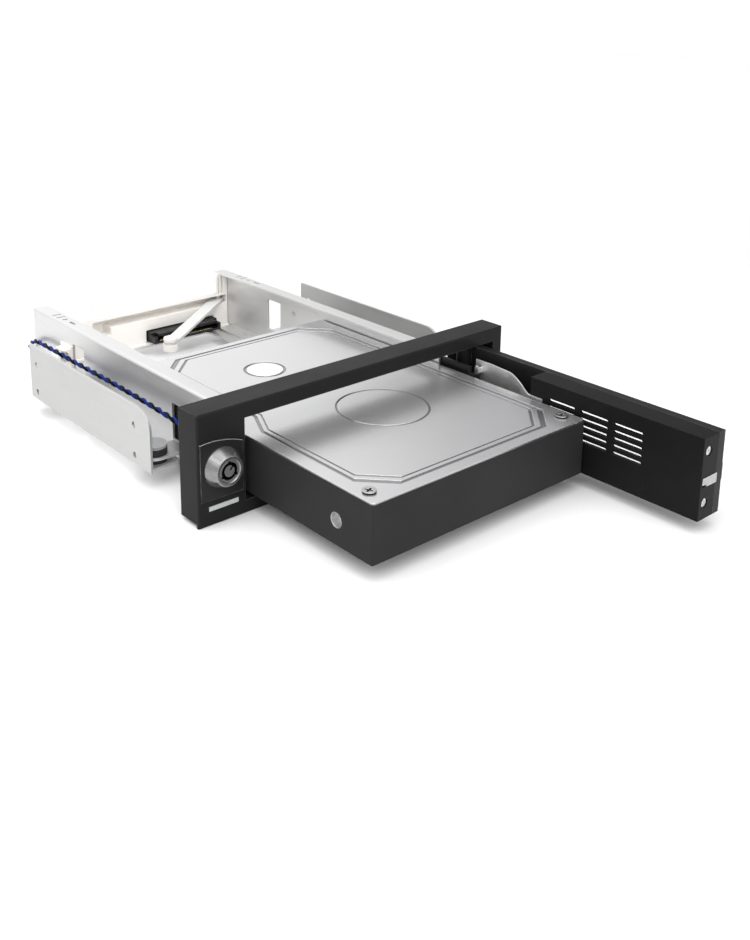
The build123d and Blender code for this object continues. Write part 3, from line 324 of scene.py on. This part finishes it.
finishes = {
    # Lighter bezel edges: partly wear, partly painted highlight
    "bezel": moulded("bezel_moulding", (0.013, 0.013, 0.0135), (0.016, 0.016, 0.0165), 0.33,
                     edge=0.35, wear_and_highlight=0.6, wear_and_highlight_colour=DULL_WORN_LIT_EDGE, specular=0.06),
    # Pale upper edge of the lock panel: a painted highlight
    "panel": moulded("lock_panel_gloss", (0.015, 0.015, 0.016), (0.018, 0.018, 0.019), 0.2,
                     edge=0.3, wear_and_highlight=0.4, wear_and_highlight_colour=(0.45, 0.45, 0.46), specular=0.14, top_edge_highlight=0.9),
    "door": moulded("door_box_moulding", (0.008, 0.008, 0.0085), (0.011, 0.011, 0.0115), 0.3,
                    edge=0.3, specular=0.05),
    "door_plate": moulded("door_plate_moulding", (0.009, 0.009, 0.0095), (0.012, 0.012, 0.0125),
                          0.34, edge=0.35, wear_and_highlight=0.6, wear_and_highlight_colour=DULL_WORN_LIT_EDGE, specular=0.12),
    "plug": moulded("plug_moulding", (0.008, 0.008, 0.009), (0.013, 0.013, 0.014), 0.38,
                    wear_and_highlight=0.15, specular=0.3),
    "light": moulded("light_bar", (0.42, 0.44, 0.44), (0.5, 0.52, 0.52), 0.25, wear_and_highlight=0.1),
    "lamp": moulded("status_lamp", (0.6, 0.75, 0.6), (0.75, 0.88, 0.75), 0.15, wear_and_highlight=0.1),
    "white": moulded("white_moulding", (0.91, 0.88, 0.84), (0.95, 0.92, 0.88), 0.38, wear_and_highlight=0.1,
                     wear_and_highlight_colour=(0.98, 0.97, 0.95)),
    "lever": moulded("lever_moulding", (0.6, 0.6, 0.59), (0.68, 0.68, 0.67), 0.35, wear_and_highlight=0.1,
                     wear_and_highlight_colour=PALE_WORN_LIT_EDGE),
    # Pale edges of the mount caps: a painted highlight
    "cap": moulded("cap_moulding", (0.3, 0.305, 0.315), (0.38, 0.385, 0.395), 0.35, edge=0.3,
                   wear_and_highlight=1.0, wear_and_highlight_colour=PALE_WORN_LIT_EDGE),
    "rubber": moulded("mount_rubber", (0.01, 0.01, 0.01), (0.018, 0.018, 0.018), 0.6, wear_and_highlight=0.1),
    "blue": moulded("blue_sheath", (0.001, 0.014, 0.15), (0.003, 0.024, 0.22), 0.36, wear_and_highlight=0.02,
                    specular=0.12),
    "black": moulded("black_sheath", (0.001, 0.001, 0.006), (0.003, 0.003, 0.01), 0.36, wear_and_highlight=0.02,
                     specular=0.08),
    "drive_black": painted_with_bare_holes("drive_paint", (0.022, 0.022, 0.0225),
                                           (0.026, 0.026, 0.0265), 0.4),
    "wall": rolled("wall_sheet", (0.66, 0.66, 0.655), (0.74, 0.74, 0.735), 0.44, ALONG_Y,
                   line_depth=0.0008, metallic=0.88),
    "bracket": rolled("bracket_sheet", (0.46, 0.46, 0.455), (0.54, 0.54, 0.535), 0.42, ALONG_Y,
                      line_depth=0.0008, metallic=0.6, lit_edge_gain=1.5),
    "cover": cover_metal("drive_cover_metal", (0.67, 0.67, 0.675), (0.71, 0.71, 0.715), 0.25,
                         ALONG_X),
    "spring": rolled("spring_strip", (0.84, 0.84, 0.83), (0.92, 0.92, 0.91), 0.42, ALONG_STRAP,
                     line_scale=300, line_depth=0.0005),
    "crossed_screw": recessed_screw("cover_screw_metal"),
    "screw": rolled("screw_zinc", (0.55, 0.55, 0.53), (0.7, 0.7, 0.68), 0.28, ALL_WAYS,
                    line_scale=500),
    "chrome": rolled("lock_chrome", (0.16, 0.16, 0.16), (0.3, 0.3, 0.3), 0.2, ROUND_LOCK,
                     line_scale=700, line_depth=0.001, metallic=0.8, lit_edge_gain=2.0),
    "core": keyed_core("lock_core_metal"),
    "gold": rolled("contact_gold", (0.8, 0.66, 0.38), (0.92, 0.8, 0.52), 0.25, ALONG_Y),
    "board": board_finish("board_mask"),
}

worn_by = {
    "bezel": ["bezel_frame"],
    "panel": ["lock_panel"],
    "door": ["door_inner"],
    "door_plate": ["door_front"],
    "plug": ["drive_plug", "data_socket", "power_socket", "drive_connector", "slide_bar"],
    "light": ["light_window"],
    "lamp": ["status_lights"],
    "white": ["rear_frame", "lever_pusher", "lead_clip", "lead_plug"],
    "lever": ["eject_lever"],
    "cap": ["mount_caps", "door_catch"],
    "rubber": ["rubber_mounts"],
    "blue": ["blue_wire"],
    "black": ["black_wire"],
    "drive_black": ["drive_housing"],
    "wall": ["left_wall", "right_wall", "floor_sheet"],
    "bracket": ["left_bracket", "right_bracket"],
    "cover": ["drive_cover"],
    "spring": ["link_strap"],
    "screw": ["light_board_screws", "lock_nut", "floor_rivets", "bezel_screws", "mount_screws",
              "frame_screws", "backplane_screws", "lever_pin", "bar_guides", "hinge_pins",
              "door_screws", "strap_rivet", "strap_pin", "lock_cam", "lock_cam_screw"],
    "crossed_screw": ["drive_cover_screws"],
    "chrome": ["lock_body"],
    "core": ["lock_core"],
    "gold": ["plug_contacts"],
    "board": ["light_board", "backplane_board", "drive_board"],
}
for finish_name, wearers in worn_by.items():
    for node_name in wearers:
        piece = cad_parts[node_name]
        piece.data.materials.clear()
        piece.data.materials.append(finishes[finish_name])


# Twisted lead: two straight strands are twisted together, then bent along the lead's route

# The route of the lead's wires in the part: across, depth and height in millimetres
LEAD_ROUTE = [
    (-64.0, 8.8, 7.2),
    (-64.0, 15.5, 7.4),
    (-60.1, 20.0, 19.0),
    (-58.4, 31.0, 21.9),
    (-58.0, 60.0, 22.6),
    (-57.6, 90.0, 22.3),
    (-57.8, 122.0, 22.0),
    (-57.6, 146.0, 21.8),
    (-57.2, 159.0, 21.2),
    (-56.4, 166.5, 15.5),
    (-54.0, 167.2, 10.8),
    (-44.0, 167.3, 9.8),
    (-28.0, 167.1, 9.8),
]
STRAND_RADIUS = 0.54 * MM
STRAND_SIDES = 10
TWIST_PITCH = 11.3 * MM
STEPS_PER_TWIST = 14


def lead_line():
    """The smooth line that the lead follows."""
    line = bpy.data.curves.new("lead_line", "CURVE")
    line.dimensions = "3D"
    line.twist_mode = "MINIMUM"
    spline = line.splines.new("NURBS")
    spline.points.add(len(LEAD_ROUTE) - 1)
    for point, place in zip(spline.points, LEAD_ROUTE):
        point.co = (*at(*place), 1)
    spline.order_u = 3
    spline.use_endpoint_u = True
    spline.resolution_u = 24
    carrier = bpy.data.objects.new("lead_line", line)
    bpy.context.collection.objects.link(carrier)
    return carrier


def bent_along(mesh, name, line):
    """An object of this mesh, bent along the lead's line for good."""
    data = bpy.data.meshes.new(name)
    mesh.to_mesh(data)
    mesh.free()
    piece = bpy.data.objects.new(name, data)
    bpy.context.collection.objects.link(piece)
    bend = piece.modifiers.new("along_lead", "CURVE")
    bend.object = line
    bend.deform_axis = "POS_X"
    bpy.context.view_layer.update()
    evaluated = piece.evaluated_get(bpy.context.evaluated_depsgraph_get())
    bent = bpy.data.meshes.new_from_object(evaluated)
    piece.modifiers.clear()
    piece.data = bent
    piece.data.name = name
    return piece


def wind(mesh, start_angle, length):
    """Winds what the mesh holds at the lead's start round the lead's line, straight so far."""
    steps = int(length / TWIST_PITCH * STEPS_PER_TWIST)
    bmesh.ops.rotate(mesh, verts=mesh.verts, matrix=Matrix.Rotation(start_angle, 3, "X"))
    bmesh.ops.spin(mesh, geom=mesh.verts[:] + mesh.edges[:], axis=(1, 0, 0), cent=(0, 0, 0),
                   steps=steps, angle=length / TWIST_PITCH * math.tau, dvec=(length / steps, 0, 0),
                   use_merge=False)


def twisted_strand(name, start_angle, length, line):
    """One sheathed wire wound round the lead's line, and the points of its middle."""
    beside_line = (0, STRAND_RADIUS, 0)
    section = Matrix.Translation(beside_line) @ Matrix.Rotation(math.pi / 2, 4, "Y")
    mesh = bmesh.new()
    bmesh.ops.create_circle(mesh, segments=STRAND_SIDES, radius=STRAND_RADIUS, cap_ends=False,
                            matrix=section)
    wind(mesh, start_angle, length)
    bmesh.ops.remove_doubles(mesh, verts=mesh.verts, dist=1e-7)
    ends = [edge for edge in mesh.edges if edge.is_boundary]
    bmesh.ops.holes_fill(mesh, edges=ends, sides=0)
    bmesh.ops.recalc_face_normals(mesh, faces=mesh.faces)
    strand = bent_along(mesh, name, line)
    strand.data.shade_smooth()

    middle_mesh = bmesh.new()
    middle_mesh.verts.new(beside_line)
    wind(middle_mesh, start_angle, length)
    middle = bent_along(middle_mesh, name + "_middle", line)
    points = [tuple(vertex.co) for vertex in middle.data.vertices]
    bpy.data.objects.remove(middle)
    return strand, points


lead = lead_line()
bpy.context.view_layer.update()
lead_length = lead.data.splines[0].calc_length()
for name, angle, finish_name, node_name in (
    ("blue_strand", 0.0, "blue", "blue_wire"),
    ("black_strand", math.pi, "black", "black_wire"),
):
    strand, middle_points = twisted_strand(name, angle, lead_length, lead)
    strand.data.materials.append(finishes[finish_name])
    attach(strand, "cage")
    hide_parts(node_name)
bpy.data.objects.remove(lead)


# Studio: a pale floor, soft lights and the camera


def pale_floor():
    """The floor under the part, 60 m wide so that its edge is never seen."""
    mesh = bmesh.new()
    bmesh.ops.create_grid(mesh, x_segments=2, y_segments=2, size=30)
    data = bpy.data.meshes.new("studio_floor")
    mesh.to_mesh(data)
    mesh.free()
    floor = bpy.data.objects.new("studio_floor", data)
    bpy.context.collection.objects.link(floor)
    finish, tree, shader, vector = start_finish("floor_paper")
    cloud = spread(tree, noise(tree, vector, 3), 0, 1)
    colour = blend_colours(tree, cloud, (0.93, 0.93, 0.93), (0.95, 0.95, 0.95))
    tree.links.new(colour, shader.inputs["Base Color"])
    shader.inputs["Roughness"].default_value = 0.08
    shader.inputs["Specular IOR Level"].default_value = 0.5
    data.materials.append(finish)


def soft_light(name, place, target, size, power):
    """A square soft box at a place, facing a target, in metres and watts."""
    lamp = bpy.data.lights.new(name, "AREA")
    lamp.shape = "SQUARE"
    lamp.size = size
    lamp.energy = power
    box = bpy.data.objects.new(name, lamp)
    bpy.context.collection.objects.link(box)
    box.location = place
    facing = Vector(target) - Vector(place)
    box.rotation_euler = facing.to_track_quat("-Z", "Y").to_euler()


def studio_walls():
    """White all round, greyer overhead and some way up at the right, for metal to reflect."""
    world = bpy.data.worlds.new("studio")
    bpy.context.scene.world = world
    world.use_nodes = True
    tree = world.node_tree
    backdrop = tree.nodes["Background"]
    backdrop.inputs["Strength"].default_value = 1.08
    way = split(tree, tree.nodes.new("ShaderNodeTexCoord").outputs["Generated"])
    to_the_right = spread(tree, way["X"], 0, 1, 0.58, 0.7)
    above_floor = spread(tree, way["Z"], 0, 1, 0.16, 0.24)
    screen = combine(tree, "MULTIPLY", to_the_right, above_floor)
    walls = blend_colours(tree, screen, (1, 1, 1), (0.3, 0.3, 0.31))
    overhead = spread(tree, way["Z"], 0, 1, 0.6, 0.85)
    studio = blend_colours(tree, overhead, walls, (0.55, 0.55, 0.56))
    tree.links.new(studio, backdrop.inputs["Color"])


pale_floor()
soft_light("left_light", (-1.6, 0.6, 1.5), (0, 0, 0), 1.4, 5)
soft_light("back_light", (0.2, 1.9, 1.0), (0, 0, 0.02), 1.6, 3)
soft_light("front_light", (-0.3, -1.7, 1.3), (0, 0, 0.02), 2.6, 20)
soft_light("top_light", (0, 0.1, 2.2), (0, 0.05, 0), 1.8, 4)
soft_light("inside_light", (-0.22, -0.1, 0.65), (0, 0.12, 0.02), 0.8, 3.6)
studio_walls()
bpy.context.scene.view_settings.view_transform = "Standard"

# The camera stands where the photograph's edges put it
FOCAL_PX = 1099.18
IMAGE_WIDTH, IMAGE_HEIGHT = 750, 940
CENTRE_PX = (312.16, 250.22)
CAMERA_PLACE = (-255.808, -282.448, 182.756)
CAMERA_DOWN, CAMERA_TO_RIGHT = 14.416, 39.165

lens = bpy.data.cameras.new("camera")
lens.sensor_width = 36
lens.lens = FOCAL_PX / IMAGE_HEIGHT * lens.sensor_width
lens.shift_x = (IMAGE_WIDTH / 2 - CENTRE_PX[0]) / IMAGE_HEIGHT
lens.shift_y = (CENTRE_PX[1] - IMAGE_HEIGHT / 2) / IMAGE_HEIGHT
lens.clip_start, lens.clip_end = 0.01, 30
camera = bpy.data.objects.new("camera", lens)
bpy.context.collection.objects.link(camera)
camera.location = at(*CAMERA_PLACE)
camera.rotation_euler = (math.radians(90 - CAMERA_DOWN), 0, math.radians(-CAMERA_TO_RIGHT))
bpy.context.scene.camera = camera
